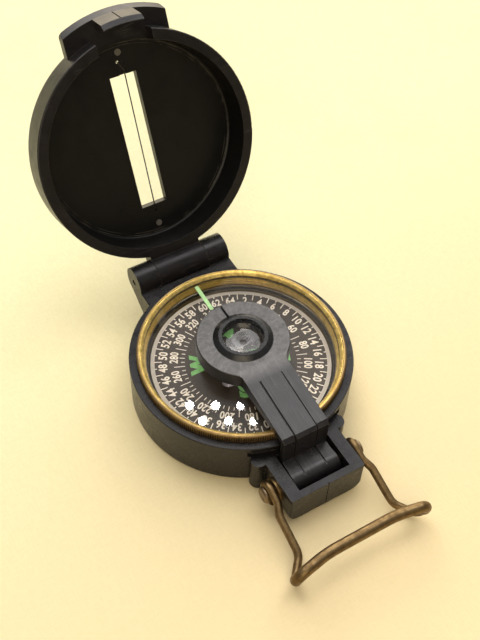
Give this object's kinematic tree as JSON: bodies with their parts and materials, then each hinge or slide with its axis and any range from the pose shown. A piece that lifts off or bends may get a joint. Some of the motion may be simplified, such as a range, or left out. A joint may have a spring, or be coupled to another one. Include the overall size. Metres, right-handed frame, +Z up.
{
  "type": "sighting compass",
  "caption": "Folding sighting compass: round case with knurled bezel and floating card, slotted lid with a sighting wire, lens eyepiece and wire thumb loop.",
  "frame": {"origin": "centre of the case's underside, on the dial's axis", "axes": "+Y is the sighting direction, from the eyepiece's end towards the lid's hinge; +X is to the right; +Z is up, along the dial's axis"},
  "size_m": [0.056, 0.1182, 0.0719],
  "materials": {
    "black_plastic": "semi-gloss moulded, lightly worn",
    "capsule_plastic": "satin",
    "rubber_seal": "matte",
    "clear_window": "clear",
    "brass_pivot": "turned",
    "steel": "satin",
    "brass_axle": "tarnished",
    "bezel_brass": "knurled outside, polished inside",
    "crystal_glass": "clear",
    "luminous_green": "matte luminous paint",
    "card_print": "dark dial with pale print",
    "jewel": "polished",
    "magnet_metal": "dull grey",
    "wire_plug_plastic": "satin",
    "lens_tube_plastic": "satin",
    "lens_glass": "clear",
    "brass_wire": "dull drawn wire"
  },
  "bodies": {
    "case": {"base_case": "black_plastic", "capsule_bowl": "capsule_plastic", "capsule_seal": "rubber_seal", "capsule_window": "clear_window", "pivot_post": "brass_pivot", "pivot_needle": "steel", "bezel_snap_wire": "steel", "bezel_click_spring": "steel", "lid_hinge_pin": "steel", "sight_axle": "brass_axle", "axle_cap": "brass_axle", "axle_washers": "brass_axle", "eyepiece_spring": "steel"},
    "bezel": {"bezel_ring": "bezel_brass", "bezel_crystal": "crystal_glass", "crystal_gasket": "rubber_seal", "crystal_retainer": "bezel_brass", "index_line": "luminous_green"},
    "card": {"compass_card": "card_print", "card_hub": "brass_pivot", "jewel_cup": "jewel", "card_magnet": "magnet_metal"},
    "lid": {"lid_cover": "black_plastic", "sighting_wire": "steel", "wire_plugs": "wire_plug_plastic"},
    "eyepiece": {"eyepiece_arm": "black_plastic", "lens_tube": "lens_tube_plastic", "eyepiece_lens": "lens_glass"},
    "loop": {"thumb_loop": "brass_wire"}
  },
  "joints": [
    {"name": "lid_hinge", "type": "hinge", "parent": "case", "child": "lid", "pos_m": [0, 0.03196, 0.01358], "axis": [-1, 0, 0], "range_deg": [-113.8, 66]},
    {"name": "eyepiece_hinge", "type": "hinge", "parent": "case", "child": "eyepiece", "pos_m": [0, -0.0322, 0.0056], "axis": [1, 0, 0], "range_deg": [0, 78]},
    {"name": "loop_hinge", "type": "hinge", "parent": "case", "child": "loop", "pos_m": [0, -0.0322, 0.0056], "axis": [-1, 0, 0], "range_deg": [-70, 97]},
    {"name": "bezel_turn", "type": "hinge", "parent": "case", "child": "bezel", "pos_m": [0, 0, 0.0132], "axis": [0, 0, 1], "continuous": true},
    {"name": "card_turn", "type": "hinge", "parent": "case", "child": "card", "pos_m": [0, 0, 0.0089], "axis": [0, 0, 1], "continuous": true}
  ]
}
